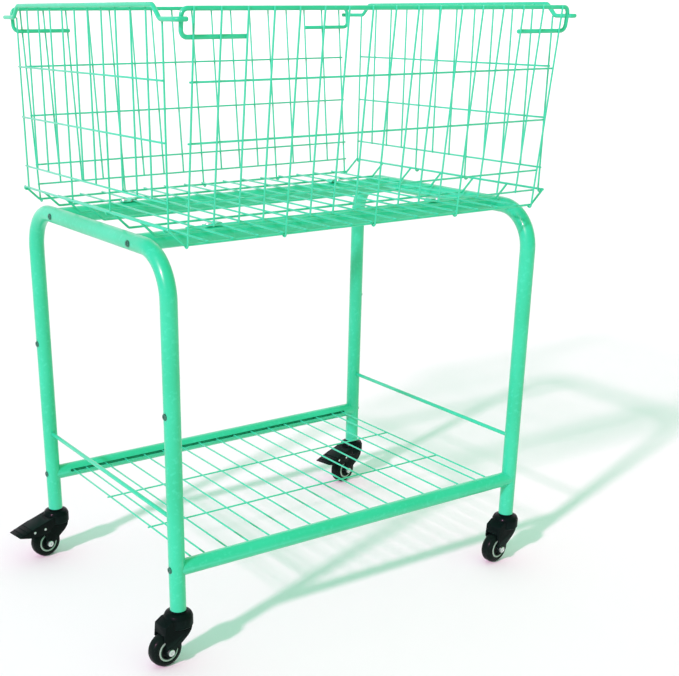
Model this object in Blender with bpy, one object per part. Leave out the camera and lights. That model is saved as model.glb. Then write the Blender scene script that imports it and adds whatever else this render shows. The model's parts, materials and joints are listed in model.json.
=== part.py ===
"""Rolling wire laundry basket: two bent tube end frames, four rails, a wire shelf and a wire basket whose
long sides fold in, on four swivel casters. Metres, +Z up, +X along the length, origin on the floor under
the middle."""

import math

import bmesh
import bpy
from mathutils import Matrix, Vector

GAP = 0.0003

TUBE_RADIUS = 0.0115
TUBE_WALL = 0.0015
LEG_SPAN_X = 0.614
LEG_SPAN_Y = 0.422
LEG_BOTTOM = 0.079
TOP_BAR_Z = 0.571
FRAME_BEND = 0.060
TUBE_SIDES = 12
BEND_STEPS = 5

LOWER_RAIL_Z = 0.141
UPPER_RAIL_Y = 0.125
SPARE_STATION_Z = 0.361
RAIL_PLUG = 0.007
GUARD_ROD_RADIUS = 0.003
GUARD_ROD_Z = 0.212

SCREW_RADIUS = 0.0024
SCREW_HEAD_RADIUS = 0.0045
SCREW_HEAD_HEIGHT = 0.0022
SCREW_FLAT_DEPTH = 0.0009
SCREW_FLAT_RADIUS = 0.0055
RAIL_SCREW_LENGTH = 0.0285
SPARE_SCREW_LENGTH = 0.010

WIRE_SIDES = 6
WIRE_RADIUS = 0.0013
FLOOR_BAR_RADIUS = 0.0016
RIM_RADIUS = 0.0028
WELD_DEPTH = 0.00045

SHELF_Z = 0.143
SHELF_PITCH = 0.036
SHELF_INNER_WIRES = 7
SHELF_OUTER_X = 0.274
SHELF_LONG_WIRE_Y = 0.068
SHELF_EDGE_WIRE_RADIUS = 0.0022
RAIL_SLOT = 0.0044

FLOOR_HALF_X = 0.291
FLOOR_END_X = 0.3125
FLOOR_END_RISE = 0.0203
FLOOR_HALF_Y = 0.226
FLOOR_BAR_PITCH = 0.076
FLOOR_WIRE_PITCH = 0.037
FLOOR_MIDDLE_WIRE_X = -0.004
FLOOR_WIRE_STUB = 0.003

HOOK_RADIUS = 0.0034
HOOK_STEPS = 4
SIDE_PITCH = 0.036
SIDE_TILT = math.radians(6.0)
SIDE_WIRE_TOP = 0.2732
SIDE_RIM_HEIGHT = 0.2705
SIDE_RAIL_HEIGHTS = (0.022, 0.0505, 0.1215, 0.191)
SIDE_LOOP_HEIGHT = 0.0305
SIDE_LOOP_BEND = 0.008
SIDE_LOOP_HALF_X = 0.3025
SIDE_LOOP_RETURN_X = 0.214

END_PITCH = 0.040
END_LONG_WIRES = (0, 4, 7, 11)
END_WIRE_TOP = 0.2525
END_OUTER_WIRE_TOP = 0.2375
END_RIM_HEIGHT = 0.253
END_RAIL_HEIGHTS = (0.031, 0.101, 0.171)
END_RAIL_HALF = 0.2205
END_RIM_HALF = 0.2045
END_HOOK_DROP = 0.0155
END_HOOK_START = 0.221
END_HOOK_REACH = 0.261
END_HOOK_RETURN = 0.014
END_HOOK_BEND = 0.006

CLIP_X = 0.185
CLIP_WIDTH = 0.014
CLIP_THICKNESS = 0.0012
CLIP_SCREW_OFFSET = 0.013
CLIP_SCREW_LENGTH = 0.009

WHEEL_RADIUS = 0.025
WHEEL_WIDTH = 0.020
CORE_RADIUS = 0.0155
CORE_RING_INNER_RADIUS = 0.0112
CASTER_TRAIL = 0.024
CASTER_ANGLES = {"front_left": 186.0, "front_right": 189.0, "back_left": 189.0, "back_right": 191.0}
BRAKED = ("back_left", "back_right")
FORK_HALF_WIDTH = 0.0135
WHEEL_POCKET_RADIUS = 0.027
WHEEL_POCKET_WIDTH = 0.022
HEAD_RADIUS = 0.0207
HEAD_TOP = 0.0768
HEAD_SHOULDER = 0.070
HEAD_BOTTOM = 0.056
HEAD_WALL = 0.0035
AXLE_RADIUS = 0.003
AXLE_HALF_LENGTH = 0.0205
NUT_RADIUS = 0.0055
NUT_HEIGHT = 0.004
PIN_RADIUS = 0.004
SWIVEL_SIDES = 16
PEDAL_PIVOT = (0.032, 0.054)
PEDAL_PIN_RADIUS = 0.0022
PEDAL_HALF_WIDTH = 0.017
PEDAL_SKIRT = 0.003
PEDAL_THICKNESS = 0.0025

PAINT = ("mint_paint", (0.10, 0.74, 0.56), 0.30, 0.0)
BLACK_HOUSING = ("black_housing", (0.010, 0.014, 0.013), 0.35, 0.0)
RUBBER = ("black_rubber", (0.012, 0.013, 0.012), 0.55, 0.0)
CORE_PLASTIC = ("grey_core", (0.45, 0.52, 0.48), 0.45, 0.0)
ZINC = ("bright_zinc", (0.72, 0.74, 0.73), 0.28, 1.0)

CORNERS = {"front_left": (-1, -1), "front_right": (1, -1), "back_left": (-1, 1), "back_right": (1, 1)}


def clear_scene():
    for old in list(bpy.data.objects):
        bpy.data.objects.remove(old, do_unlink=True)


def material(finish):
    name, colour, roughness, metallic = finish
    made = bpy.data.materials.get(name)
    if made:
        return made
    made = bpy.data.materials.new(name)
    made.use_nodes = True
    shader = made.node_tree.nodes["Principled BSDF"]
    shader.inputs["Base Color"].default_value = (*colour, 1.0)
    shader.inputs["Roughness"].default_value = roughness
    shader.inputs["Metallic"].default_value = metallic
    return made


def new_object(name, shape):
    """A linked object from a bmesh, which it frees."""
    mesh = bpy.data.meshes.new(name)
    bmesh.ops.recalc_face_normals(shape, faces=shape.faces)
    shape.to_mesh(mesh)
    shape.free()
    made = bpy.data.objects.new(name, mesh)
    bpy.context.collection.objects.link(made)
    return made


def combine(target, other, operation):
    """Applies a Boolean of the other object to the target, and removes the other."""
    modifier = target.modifiers.new(operation, "BOOLEAN")
    modifier.operation = operation
    modifier.solver = "EXACT"
    modifier.object = other
    graph = bpy.context.evaluated_depsgraph_get()
    result = bpy.data.meshes.new_from_object(target.evaluated_get(graph))
    target.modifiers.clear()
    target.data = result
    bpy.data.objects.remove(other, do_unlink=True)
    return target


def finished(target, finish):
    target.data.materials.clear()
    target.data.materials.append(material(finish))
    target.data.shade_smooth()
    target.data.set_sharp_from_angle(angle=math.radians(40))
    return target


def copy_of(source, name, location, rotation=(0.0, 0.0, 0.0)):
    made = bpy.data.objects.new(name, source.data)
    made.location = location
    made.rotation_euler = rotation
    bpy.context.collection.objects.link(made)
    return made


def rounded(points, bend, steps):
    """The path through the points with each inner corner turned on an arc of the bend radius."""
    path = [Vector(points[0])]
    for before, corner, after in zip(points, points[1:], points[2:]):
        corner = Vector(corner)
        back = (Vector(before) - corner).normalized()
        ahead = (Vector(after) - corner).normalized()
        turn = math.pi - back.angle(ahead)
        start = corner + back * bend * math.tan(turn / 2)
        centre = corner + (back + ahead).normalized() * bend / math.cos(turn / 2)
        axis = (-back).cross(ahead).normalized()
        for step in range(steps + 1):
            path.append(centre + Matrix.Rotation(turn * step / steps, 3, axis) @ (start - centre))
    path.append(Vector(points[-1]))
    return path


def bar(shape, path, radius, sides, facing):
    """Adds a round bar along the path, mitred at its bends, with one edge line towards facing."""
    path = [Vector(point) for point in path]
    along = (path[1] - path[0]).normalized()
    facing = Vector(facing)
    facing = (facing - along * facing.dot(along)).normalized()
    rings = []
    for index, point in enumerate(path):
        ahead = (path[index + 1] - point).normalized() if index + 1 < len(path) else along
        plane = (along + ahead).normalized()
        ring = []
        for side in range(sides):
            offset = Matrix.Rotation(math.tau * side / sides, 3, along) @ facing * radius
            slid = offset - along * offset.dot(plane) / along.dot(plane)
            ring.append(shape.verts.new(point + slid))
        facing = along.rotation_difference(ahead) @ facing
        along = ahead
        rings.append(ring)
    for first, second in zip(rings, rings[1:]):
        for side in range(sides):
            after = (side + 1) % sides
            shape.faces.new((first[side], first[after], second[after], second[side]))
    shape.faces.new(list(reversed(rings[0])))
    shape.faces.new(rings[-1])


def bar_object(name, path, radius, sides=TUBE_SIDES, facing=(1, 0, 0)):
    shape = bmesh.new()
    bar(shape, path, radius, sides, facing)
    return new_object(name, shape)


def turned(name, profile, sides, axis="Z"):
    """A turned solid: profile holds (radius, height) points, from the bottom of the axis to its top."""
    shape = bmesh.new()
    rings = []
    for radius, height in profile:
        if radius == 0:
            rings.append([shape.verts.new((0, 0, height))])
            continue
        angles = [math.tau * side / sides for side in range(sides)]
        rings.append([shape.verts.new((radius * math.cos(a), radius * math.sin(a), height)) for a in angles])
    for first, second in zip(rings, rings[1:]):
        for side in range(sides):
            after = (side + 1) % sides
            corners = [first[side % len(first)], first[after % len(first)]]
            corners += [second[after % len(second)], second[side % len(second)]]
            unique = list(dict.fromkeys(corners))
            if len(unique) > 2:
                shape.faces.new(unique)
    if len(rings[0]) > 1 and profile[0] == profile[-1]:
        bmesh.ops.remove_doubles(shape, verts=shape.verts, dist=1e-6)
    turn = {"Z": Matrix(), "Y": Matrix.Rotation(math.radians(-90), 4, "X"),
            "X": Matrix.Rotation(math.radians(90), 4, "Y")}[axis]
    bmesh.ops.transform(shape, matrix=turn, verts=shape.verts)
    return new_object(name, shape)


def prism(name, outline, half_width):
    """A side outline of (x, z) points, drawn across Y to both half widths."""
    shape = bmesh.new()
    corners = [shape.verts.new((x, -half_width, z)) for x, z in outline]
    face = shape.faces.new(corners)
    drawn = bmesh.ops.extrude_face_region(shape, geom=[face])
    moved = [item for item in drawn["geom"] if isinstance(item, bmesh.types.BMVert)]
    bmesh.ops.translate(shape, vec=(0, 2 * half_width, 0), verts=moved)
    return new_object(name, shape)


def grille(name, down, across):
    """One welded wire panel from its two crossing layers of bars."""
    return combine(new_object(name, down), new_object("across", across), "UNION")


def screw_cutter(outer_x, reach, inner_radius):
    """The flat and the hole that one screw needs, for a screw that comes in along -X."""
    profile = [(0, -reach), (inner_radius, -reach), (inner_radius, 0), (SCREW_FLAT_RADIUS, 0)]
    profile += [(SCREW_FLAT_RADIUS, 0.006), (0, 0.006)]
    cutter = turned("screw_cutter", profile, 8, axis="X")
    bpy.context.view_layer.update()
    cutter.data.transform(Matrix.Translation((outer_x, 0, 0)))
    return cutter


def end_frame_mesh():
    """The right end frame: one tube bent to a U that opens downwards, drilled for its screws."""
    half = LEG_SPAN_Y / 2
    corners = [(0, -half, LEG_BOTTOM), (0, -half, TOP_BAR_Z), (0, half, TOP_BAR_Z), (0, half, LEG_BOTTOM)]
    path = rounded(corners, FRAME_BEND, BEND_STEPS)
    frame = bar_object("end_frame", path, TUBE_RADIUS)
    below = Vector((0, 0, 0.01))
    bore_path = [path[0] - below] + path[1:-1] + [path[-1] - below]
    combine(frame, bar_object("bore", bore_path, TUBE_RADIUS - TUBE_WALL), "DIFFERENCE")
    hole = SCREW_RADIUS + GAP
    stations = []
    for side in (-1, 1):
        stations.append((side * UPPER_RAIL_Y, TOP_BAR_Z, 2.5 * TUBE_RADIUS))
        stations.append((side * half, LOWER_RAIL_Z, 2.5 * TUBE_RADIUS))
        stations.append((side * half, SPARE_STATION_Z, TUBE_RADIUS))
    for y, z, reach in stations:
        cutter = screw_cutter(TUBE_RADIUS - SCREW_FLAT_DEPTH, reach, hole)
        cutter.data.transform(Matrix.Translation((0, y, z)))
        combine(frame, cutter, "DIFFERENCE")
    return frame


def make_end_frames():
    frame = end_frame_mesh()
    frame.name = "end_frame_right"
    frame.location = (LEG_SPAN_X / 2, 0, 0)
    copy_of(frame, "end_frame_left", (-LEG_SPAN_X / 2, 0, 0), (0, 0, math.pi))
    finished(frame, PAINT)


def make_guard_rods():
    reach = LEG_SPAN_Y / 2 - TUBE_RADIUS - GAP
    rod = bar_object("guard_rod_right", [(0, -reach, 0), (0, reach, 0)], GUARD_ROD_RADIUS, 8)
    rod.location = (LEG_SPAN_X / 2, 0, GUARD_ROD_Z)
    copy_of(rod, "guard_rod_left", (-LEG_SPAN_X / 2, 0, GUARD_ROD_Z))
    finished(rod, PAINT)


def rail(name):
    """A tube along X with a drilled plug in each end, coped round the upright tubes that it meets."""
    leg_x = LEG_SPAN_X / 2
    clear = TUBE_RADIUS + GAP
    plug_face = leg_x - clear - RAIL_PLUG
    bore = TUBE_RADIUS - TUBE_WALL
    hole = SCREW_RADIUS + GAP
    profile = [(hole, -leg_x), (TUBE_RADIUS, -leg_x), (TUBE_RADIUS, leg_x), (hole, leg_x)]
    profile += [(hole, plug_face), (bore, plug_face), (bore, -plug_face), (hole, -plug_face), (hole, -leg_x)]
    made = turned(name, profile, TUBE_SIDES, axis="X")
    for side in (-1, 1):
        cope = bar_object("cope", [(side * leg_x, 0, -0.03), (side * leg_x, 0, 0.03)], clear, 2 * TUBE_SIDES)
        combine(made, cope, "DIFFERENCE")
    return made


def make_lower_rails():
    """Tubes with a slot along their inner side, which the shelf's wires enter."""
    made = rail("lower_rail_front")
    half_length = SHELF_OUTER_X + 0.006
    slot = prism("slot", [(-half_length, -RAIL_SLOT / 2), (half_length, -RAIL_SLOT / 2),
                          (half_length, RAIL_SLOT / 2), (-half_length, RAIL_SLOT / 2)], 0.01)
    slot.data.transform(Matrix.Translation((0, TUBE_RADIUS, SHELF_Z - LOWER_RAIL_Z)))
    combine(made, slot, "DIFFERENCE")
    made.location = (0, -LEG_SPAN_Y / 2, LOWER_RAIL_Z)
    back = rail("lower_rail_back")
    slot = prism("slot", [(-half_length, -RAIL_SLOT / 2), (half_length, -RAIL_SLOT / 2),
                          (half_length, RAIL_SLOT / 2), (-half_length, RAIL_SLOT / 2)], 0.01)
    slot.data.transform(Matrix.Translation((0, -TUBE_RADIUS, SHELF_Z - LOWER_RAIL_Z)))
    combine(back, slot, "DIFFERENCE")
    back.location = (0, LEG_SPAN_Y / 2, LOWER_RAIL_Z)
    finished(made, PAINT)
    finished(back, PAINT)


def make_upper_rails():
    """Tubes under the basket's floor, coped round the top bars and drilled for the clips' screws."""
    made = rail("upper_rail_front")
    made.data.transform(Matrix.Rotation(math.radians(90), 4, "X"))
    for side in (-1, 1):
        x = side * (CLIP_X + CLIP_SCREW_OFFSET)
        hole = bar_object("hole", [(x, 0, 0), (x, 0, 0.02)], SCREW_RADIUS + GAP, 8)
        combine(made, hole, "DIFFERENCE")
    made.location = (0, -UPPER_RAIL_Y, TOP_BAR_Z)
    copy_of(made, "upper_rail_back", (0, UPPER_RAIL_Y, TOP_BAR_Z))
    finished(made, PAINT)


def screw(name, length, sides=8):
    """A button-head screw along X, its head's underside at the origin and its point towards -X."""
    profile = [(0, -length), (SCREW_RADIUS, -length), (SCREW_RADIUS, 0), (SCREW_HEAD_RADIUS, 0)]
    profile += [(SCREW_HEAD_RADIUS * 0.7, SCREW_HEAD_HEIGHT), (0, SCREW_HEAD_HEIGHT)]
    return turned(name, profile, sides, axis="X")


def make_frame_screws():
    """The screws that fix the rails to the end frames, and one in each leg's spare station."""
    seat_x = LEG_SPAN_X / 2 + TUBE_RADIUS - SCREW_FLAT_DEPTH + GAP
    half = LEG_SPAN_Y / 2
    rows = {"upper_rail_screw": (UPPER_RAIL_Y, TOP_BAR_Z, RAIL_SCREW_LENGTH),
            "lower_rail_screw": (half, LOWER_RAIL_Z, RAIL_SCREW_LENGTH),
            "spare_station_screw": (half, SPARE_STATION_Z, SPARE_SCREW_LENGTH)}
    for row, (y, z, length) in rows.items():
        pattern = finished(screw(row, length), ZINC)
        for corner, (side_x, side_y) in CORNERS.items():
            turn = 0.0 if side_x > 0 else math.pi
            copy_of(pattern, f"{row}_{corner}", (side_x * seat_x, side_y * y, z), (0, 0, turn))
        bpy.data.objects.remove(pattern, do_unlink=True)


def make_shelf():
    """The welded wire shelf, whose edge wires lie inside the lower rails."""
    down = bmesh.new()
    across = bmesh.new()
    edge_y = LEG_SPAN_Y / 2 - 0.004
    edge_z = -(WIRE_RADIUS + SHELF_EDGE_WIRE_RADIUS - WELD_DEPTH)
    xs = [SHELF_PITCH * step for step in range(-SHELF_INNER_WIRES, SHELF_INNER_WIRES + 1)]
    for x in xs + [-SHELF_OUTER_X, SHELF_OUTER_X]:
        reach = edge_y + SHELF_EDGE_WIRE_RADIUS
        bar(down, [(x, -reach, 0), (x, reach, 0)], WIRE_RADIUS, WIRE_SIDES, (0, 0, 1))
    end = SHELF_OUTER_X + 0.003
    for side in (-1, 1):
        long_z = -(2 * WIRE_RADIUS - WELD_DEPTH)
        y = side * SHELF_LONG_WIRE_Y
        bar(across, [(-end, y, long_z), (end, y, long_z)], WIRE_RADIUS, WIRE_SIDES, (0, 0, 1))
        y = side * edge_y
        bar(across, [(-end, y, edge_z), (end, y, edge_z)], SHELF_EDGE_WIRE_RADIUS, WIRE_SIDES, (0, 0, 1))
    shelf = grille("shelf_grille", down, across)
    shelf.location = (0, 0, SHELF_Z)
    finished(shelf, PAINT)


def floor_wire_z():
    """Height of the floor's cross wires, which rest on the upper rails."""
    return TOP_BAR_Z + TUBE_RADIUS + GAP + WIRE_RADIUS


def floor_bar_z():
    return floor_wire_z() - WIRE_RADIUS - FLOOR_BAR_RADIUS + WELD_DEPTH


def make_basket_floor():
    """Bars along X that turn up at both ends to a raised end bar, with cross wires lying on them."""
    down = bmesh.new()
    across = bmesh.new()
    low = floor_bar_z()
    high = low + FLOOR_END_RISE
    bars = [FLOOR_BAR_PITCH * step for step in (-2, -1, 0, 1, 2)]
    for y in bars + [-FLOOR_HALF_Y, FLOOR_HALF_Y]:
        path = [(-FLOOR_END_X, y, high), (-FLOOR_HALF_X, y, low), (FLOOR_HALF_X, y, low), (FLOOR_END_X, y, high)]
        bar(down, path, FLOOR_BAR_RADIUS, WIRE_SIDES, (0.7, 0, 0.7))
    for step in range(-7, 8):
        x = FLOOR_WIRE_PITCH * step if step else FLOOR_MIDDLE_WIRE_X
        reach = FLOOR_HALF_Y + FLOOR_WIRE_STUB
        bar(across, [(x, -reach, floor_wire_z()), (x, reach, floor_wire_z())], WIRE_RADIUS, WIRE_SIDES, (0, 0, 1))
    for side in (-1, 1):
        x = side * FLOOR_END_X
        reach = FLOOR_HALF_Y + FLOOR_BAR_RADIUS
        bar(across, [(x, -reach, high), (x, reach, high)], FLOOR_BAR_RADIUS, WIRE_SIDES, (0, 0, 1))
    finished(grille("basket_floor", down, across), PAINT)


def hooked_wire(shape, x, top):
    """An upright wire that ends in a hook under the floor's edge bar, which lies along X at the origin."""
    hook = [(x, -HOOK_RADIUS * math.cos(a), -HOOK_RADIUS * math.sin(a))
            for a in (math.pi * step / HOOK_STEPS for step in range(HOOK_STEPS + 1))]
    bar(shape, [(x, -HOOK_RADIUS, top)] + hook, WIRE_RADIUS, WIRE_SIDES, (0, 1, 0))


def upright_wires(pitch, long_ones, foot, tops):
    """A panel's upright wires, one for each top height. The long ones hook under the floor's edge bar."""
    shape = bmesh.new()
    for index, top in enumerate(tops):
        x = pitch * (index - (len(tops) - 1) / 2)
        if index in long_ones:
            hooked_wire(shape, x, top)
        else:
            bar(shape, [(x, -HOOK_RADIUS, foot), (x, -HOOK_RADIUS, top)], WIRE_RADIUS, WIRE_SIDES, (0, 1, 0))
    return shape


def rail_wires(half_length, heights):
    shape = bmesh.new()
    y = -HOOK_RADIUS + 2 * WIRE_RADIUS - WELD_DEPTH
    for height in heights:
        bar(shape, [(-half_length, y, height), (half_length, y, height)], WIRE_RADIUS, WIRE_SIDES, (0, 1, 0))
    return shape


def rim_y():
    """Depth of a panel's heavy top wire, which is welded across its upright wires."""
    return -HOOK_RADIUS + WIRE_RADIUS + RIM_RADIUS - WELD_DEPTH


def side_rim(shape):
    """The long side's top wire, which turns back under itself in a flat loop at each end."""
    upper = SIDE_RIM_HEIGHT
    lower = upper - SIDE_LOOP_HEIGHT
    half = SIDE_LOOP_HALF_X
    line = [(-SIDE_LOOP_RETURN_X, lower), (-half, lower), (-half, upper), (half, upper), (half, lower),
            (SIDE_LOOP_RETURN_X, lower)]
    path = rounded([(x, rim_y(), z) for x, z in line], SIDE_LOOP_BEND, 3)
    bar(shape, path, RIM_RADIUS, 8, (0, 1, 0))


def make_basket_sides():
    """The long sides, on the floor's front and back edge bars. Both share one mesh."""
    count = 17
    foot = SIDE_RAIL_HEIGHTS[0] - WIRE_RADIUS
    down = upright_wires(SIDE_PITCH, (0, 4, 8, 12, 16), foot, [SIDE_WIRE_TOP] * count)
    half = SIDE_PITCH * (count - 1) / 2 + 2 * WIRE_RADIUS
    across = rail_wires(half, SIDE_RAIL_HEIGHTS)
    side_rim(across)
    front = grille("basket_side_front", down, across)
    front.location = (0, -FLOOR_HALF_Y, floor_bar_z())
    front.rotation_euler = (SIDE_TILT, 0, 0)
    copy_of(front, "basket_side_back", (0, FLOOR_HALF_Y, floor_bar_z()), (SIDE_TILT, 0, math.pi))
    finished(front, PAINT)


def end_rim(shape):
    """The end's top wire, which steps down past the corner and hooks round the long side's loop."""
    low = END_RIM_HEIGHT - END_HOOK_DROP
    half = [(END_RIM_HALF, rim_y(), END_RIM_HEIGHT), (END_HOOK_START, rim_y(), low),
            (END_HOOK_REACH, rim_y(), low), (END_HOOK_REACH, rim_y() - END_HOOK_RETURN, low)]
    stepped = half[:2] + rounded(half[1:], END_HOOK_BEND, 3)[1:]
    other = [(-x, y, z) for x, y, z in reversed(stepped)]
    bar(shape, other + stepped, RIM_RADIUS, 8, (0, 0, 1))


def make_basket_ends():
    """The short ends, on the floor's raised end bars, with their upright wires inside. Both share one mesh."""
    foot = END_RAIL_HEIGHTS[0] - WIRE_RADIUS
    tops = [END_OUTER_WIRE_TOP] + [END_WIRE_TOP] * 10 + [END_OUTER_WIRE_TOP]
    down = upright_wires(END_PITCH, END_LONG_WIRES, foot, tops)
    across = rail_wires(END_RAIL_HALF, END_RAIL_HEIGHTS)
    end_rim(across)
    left = grille("basket_end_left", down, across)
    z = floor_bar_z() + FLOOR_END_RISE
    left.location = (-FLOOR_END_X, 0, z)
    left.rotation_euler = (0, 0, math.pi / 2)
    copy_of(left, "basket_end_right", (FLOOR_END_X, 0, z), (0, 0, -math.pi / 2))
    finished(left, PAINT)


def clip_outline():
    """Side outline of a strip that humps over one floor wire, as (x, z) from the rail's top under the wire."""
    low = CLIP_THICKNESS / 2
    high = 2 * WIRE_RADIUS + 2 * GAP + CLIP_THICKNESS / 2
    line = [(-0.0065, low), (-0.003, high), (0.003, high), (0.0065, low), (0.019, low)]
    under = [(x, z - CLIP_THICKNESS / 2) for x, z in line]
    over = [(x, z + CLIP_THICKNESS / 2) for x, z in line]
    return under + over[::-1]


def make_floor_clips():
    """Four strips that hold the basket's floor down on the upper rails, each with its screw."""
    clip = prism("clip", clip_outline(), CLIP_WIDTH / 2)
    hole = bar_object("hole", [(CLIP_SCREW_OFFSET, 0, -0.002), (CLIP_SCREW_OFFSET, 0, 0.004)],
                      SCREW_RADIUS + GAP, 8)
    combine(clip, hole, "DIFFERENCE")
    pin = screw("pin", CLIP_SCREW_LENGTH)
    pin.data.transform(Matrix.Rotation(math.radians(-90), 4, "Y"))
    rail_top = TOP_BAR_Z + TUBE_RADIUS + GAP
    for corner, (side_x, side_y) in CORNERS.items():
        turn = 0.0 if side_x > 0 else math.pi
        place = (side_x * CLIP_X, side_y * UPPER_RAIL_Y, rail_top)
        copy_of(clip, f"floor_clip_{corner}", place, (0, 0, turn))
        x = side_x * (CLIP_X + CLIP_SCREW_OFFSET)
        head = (x, side_y * UPPER_RAIL_Y, rail_top + CLIP_THICKNESS + GAP)
        copy_of(pin, f"clip_screw_{corner}", head)
    finished(clip, PAINT)
    finished(pin, ZINC)
    for pattern in (clip, pin):
        bpy.data.objects.remove(pattern, do_unlink=True)


def caster_stem():
    """The plug that fills the leg's end, with the pin that the caster turns on and its riveted head."""
    sleeve = TUBE_RADIUS - TUBE_WALL - GAP
    flange_low = HEAD_TOP + GAP
    flange_high = LEG_BOTTOM - GAP
    head_high = HEAD_TOP - HEAD_WALL - GAP
    profile = [(0, head_high - 0.002), (0.0065, head_high - 0.002), (0.0065, head_high), (PIN_RADIUS, head_high)]
    profile += [(PIN_RADIUS, flange_low), (TUBE_RADIUS, flange_low), (TUBE_RADIUS, flange_high)]
    profile += [(sleeve, flange_high), (sleeve, LEG_BOTTOM + 0.028), (0, LEG_BOTTOM + 0.028)]
    return finished(turned("caster_stem", profile, TUBE_SIDES), BLACK_HOUSING)


def fork_outline(braked):
    """Side outline of the fork's box, as (x, z) with x behind the swivel axis."""
    front = [(-0.0195, HEAD_SHOULDER), (-0.0195, 0.057), (-0.0140, 0.0485), (-0.0078, 0.0420), (0.0020, 0.0345),
             (0.0114, 0.0274), (0.0155, 0.0205), (0.0190, 0.0165), (0.0240, 0.0150), (0.0285, 0.0170)]
    if braked:
        return front + [(0.0305, 0.0215), (0.0300, 0.0400), (0.0370, 0.0470), (0.0380, 0.0560),
                        (0.0350, 0.0590), (0.0190, 0.0645)]
    return front + [(0.0305, 0.0215), (0.0297, 0.0400), (0.0325, 0.0435), (0.0305, 0.0640), (0.0195, 0.0705)]


def caster_fork(braked):
    """The housing that turns on the stem: a round head over two cheeks that carry the axle."""
    fork = prism("fork", fork_outline(braked), FORK_HALF_WIDTH)
    head = turned("head", [(0, HEAD_BOTTOM), (HEAD_RADIUS, HEAD_BOTTOM), (HEAD_RADIUS, HEAD_SHOULDER),
                           (0.0185, 0.0745), (0.0120, HEAD_TOP), (0, HEAD_TOP)], SWIVEL_SIDES)
    combine(fork, head, "UNION")
    pocket = turned("pocket", [(0, -WHEEL_POCKET_WIDTH / 2), (WHEEL_POCKET_RADIUS, -WHEEL_POCKET_WIDTH / 2),
                               (WHEEL_POCKET_RADIUS, WHEEL_POCKET_WIDTH / 2), (0, WHEEL_POCKET_WIDTH / 2)],
                    SWIVEL_SIDES + 4, axis="Y")
    pocket.data.transform(Matrix.Translation((CASTER_TRAIL, 0, WHEEL_RADIUS)))
    combine(fork, pocket, "DIFFERENCE")
    ceiling = HEAD_TOP - HEAD_WALL
    hollow = turned("hollow", [(0, 0.044), (0.008, 0.044), (0.008, ceiling), (0, ceiling)], TUBE_SIDES)
    combine(fork, hollow, "DIFFERENCE")
    bore = bar_object("bore", [(0, 0, 0.06), (0, 0, 0.09)], PIN_RADIUS + GAP, TUBE_SIDES)
    combine(fork, bore, "DIFFERENCE")
    axle = bar_object("axle", [(CASTER_TRAIL, -0.03, WHEEL_RADIUS), (CASTER_TRAIL, 0.03, WHEEL_RADIUS)],
                      AXLE_RADIUS + GAP, 8)
    combine(fork, axle, "DIFFERENCE")
    if braked:
        x, z = PEDAL_PIVOT
        pivot = bar_object("pivot", [(x, -0.03, z), (x, 0.03, z)], PEDAL_PIN_RADIUS + GAP, 8)
        combine(fork, pivot, "DIFFERENCE")
    return finished(fork, BLACK_HOUSING)


def caster_tyre():
    """A ring with a round tread, from its inner edge over the tread and back."""
    half = WHEEL_WIDTH / 2
    inner = CORE_RADIUS + GAP
    tread = [(0.0180, half), (0.0222, half - 0.0018), (0.0243, half - 0.0042), (WHEEL_RADIUS, half - 0.0070)]
    profile = [(inner, -half + 0.001)] + [(radius, -y) for radius, y in tread]
    profile += tread[::-1] + [(inner, half - 0.001), (inner, -half + 0.001)]
    return finished(turned("tyre", profile, SWIVEL_SIDES + 4, axis="Y"), RUBBER)


def caster_core():
    """The wheel's centre, with a raised ring round each side's dish."""
    half = WHEEL_WIDTH / 2
    bore = AXLE_RADIUS + GAP
    dish = half - 0.0035
    ring = CORE_RING_INNER_RADIUS
    profile = [(bore, -dish), (ring - 0.001, -dish), (ring, -half), (CORE_RADIUS, -half), (CORE_RADIUS, half),
               (ring, half), (ring - 0.001, dish), (bore, dish), (bore, -dish)]
    return finished(turned("core", profile, SWIVEL_SIDES, axis="Y"), CORE_PLASTIC)


def hexagon(name, low, high, bore=0.0):
    """A hexagon head or nut along Y."""
    profile = [(bore, low), (NUT_RADIUS, low), (NUT_RADIUS, high), (bore, high)]
    if bore:
        profile.append((bore, low))
    return turned(name, profile, 6, axis="Y")


def axle_bolt():
    """The bolt through the wheel: its head on the +Y side, and room for the nut on the other."""
    head_low = FORK_HALF_WIDTH + GAP
    shank = [(0, -AXLE_HALF_LENGTH), (AXLE_RADIUS, -AXLE_HALF_LENGTH), (AXLE_RADIUS, head_low + 0.001)]
    made = turned("axle_bolt", shank + [(0, head_low + 0.001)], 8, axis="Y")
    return finished(combine(made, hexagon("head", head_low, head_low + NUT_HEIGHT), "UNION"), ZINC)


def axle_nut():
    high = -FORK_HALF_WIDTH - GAP
    return finished(hexagon("axle_nut", high - NUT_HEIGHT, high, (AXLE_RADIUS + GAP) / math.cos(math.pi / 6)), ZINC)


def pedal_top(x):
    """Height of the pedal's sloping top, at x behind the swivel axis."""
    return 0.0740 - 0.265 * x


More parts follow.
